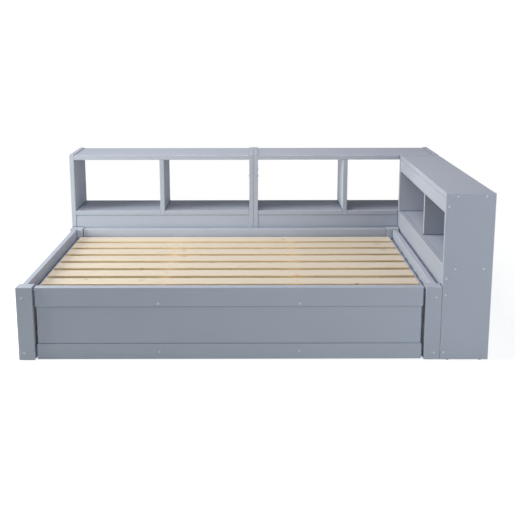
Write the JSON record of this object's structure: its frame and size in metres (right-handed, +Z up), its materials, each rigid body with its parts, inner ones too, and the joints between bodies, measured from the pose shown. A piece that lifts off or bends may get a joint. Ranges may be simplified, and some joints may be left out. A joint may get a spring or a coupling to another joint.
{
  "type": "platform bed with bookcases",
  "caption": "Low painted daybed frame with a slatted deck for a double mattress, and open bookcases along its back and at its right end.",
  "frame": {"origin": "on the floor, under the middle of the whole object's box", "axes": "+X towards the bookcase at the right end, +Y towards the bookcase behind the bed, +Z up"},
  "size_m": [2.368, 1.957, 0.85],
  "materials": {
    "painted_wood": "satin paint",
    "bare_pine": "sanded, unfinished",
    "painted_cap": "satin",
    "steel": "zinc plated",
    "yellow_zinc": "yellow zinc plated",
    "glide_plastic": "matte"
  },
  "bodies": {
    "root": {"post_front_left": "painted_wood", "post_front_right": "painted_wood", "post_back_left": "painted_wood", "post_back_right": "painted_wood", "front_top_rail": "painted_wood", "front_panel": "painted_wood", "front_bottom_rail": "painted_wood", "back_top_rail": "painted_wood", "back_bottom_rail": "painted_wood", "left_top_rail": "painted_wood", "left_panel": "painted_wood", "left_bottom_rail": "painted_wood", "right_top_rail": "painted_wood", "right_bottom_rail": "painted_wood", "slat_ledger_left": "painted_wood", "slat_ledger_right": "painted_wood", "cross_beam_left": "bare_pine", "cross_beam_right": "bare_pine", "cross_stretcher_left": "bare_pine", "cross_stretcher_right": "bare_pine", "cross_legs": "bare_pine", "slat_1": "bare_pine", "slat_2": "bare_pine", "slat_3": "bare_pine", "slat_4": "bare_pine", "slat_5": "bare_pine", "slat_6": "bare_pine", "slat_7": "bare_pine", "slat_8": "bare_pine", "back_a_end_left": "painted_wood", "back_a_end_right": "painted_wood", "back_a_top": "painted_wood", "back_a_divider": "painted_wood", "back_a_shelf_left": "painted_wood", "back_a_shelf_right": "painted_wood", "back_a_panel": "painted_wood", "back_b_end_left": "painted_wood", "back_b_end_right": "painted_wood", "back_b_top": "painted_wood", "back_b_divider": "painted_wood", "back_b_shelf_left": "painted_wood", "back_b_shelf_right": "painted_wood", "back_b_panel": "painted_wood", "side_front_end": "painted_wood", "side_rear_end": "painted_wood", "side_top": "painted_wood", "side_upper_fascia": "painted_wood", "side_lower_fascia": "painted_wood", "side_lower_panel": "painted_wood", "side_shelf": "painted_wood", "side_divider": "painted_wood", "side_outer_panel": "painted_wood", "frame_bolts": "steel", "cross_nuts": "steel", "bolt_caps": "painted_cap", "case_screws": "steel", "wood_screws": "yellow_zinc", "shelf_cams": "yellow_zinc", "unit_connectors": "steel", "floor_glides": "glide_plastic"}
  },
  "joints": []
}
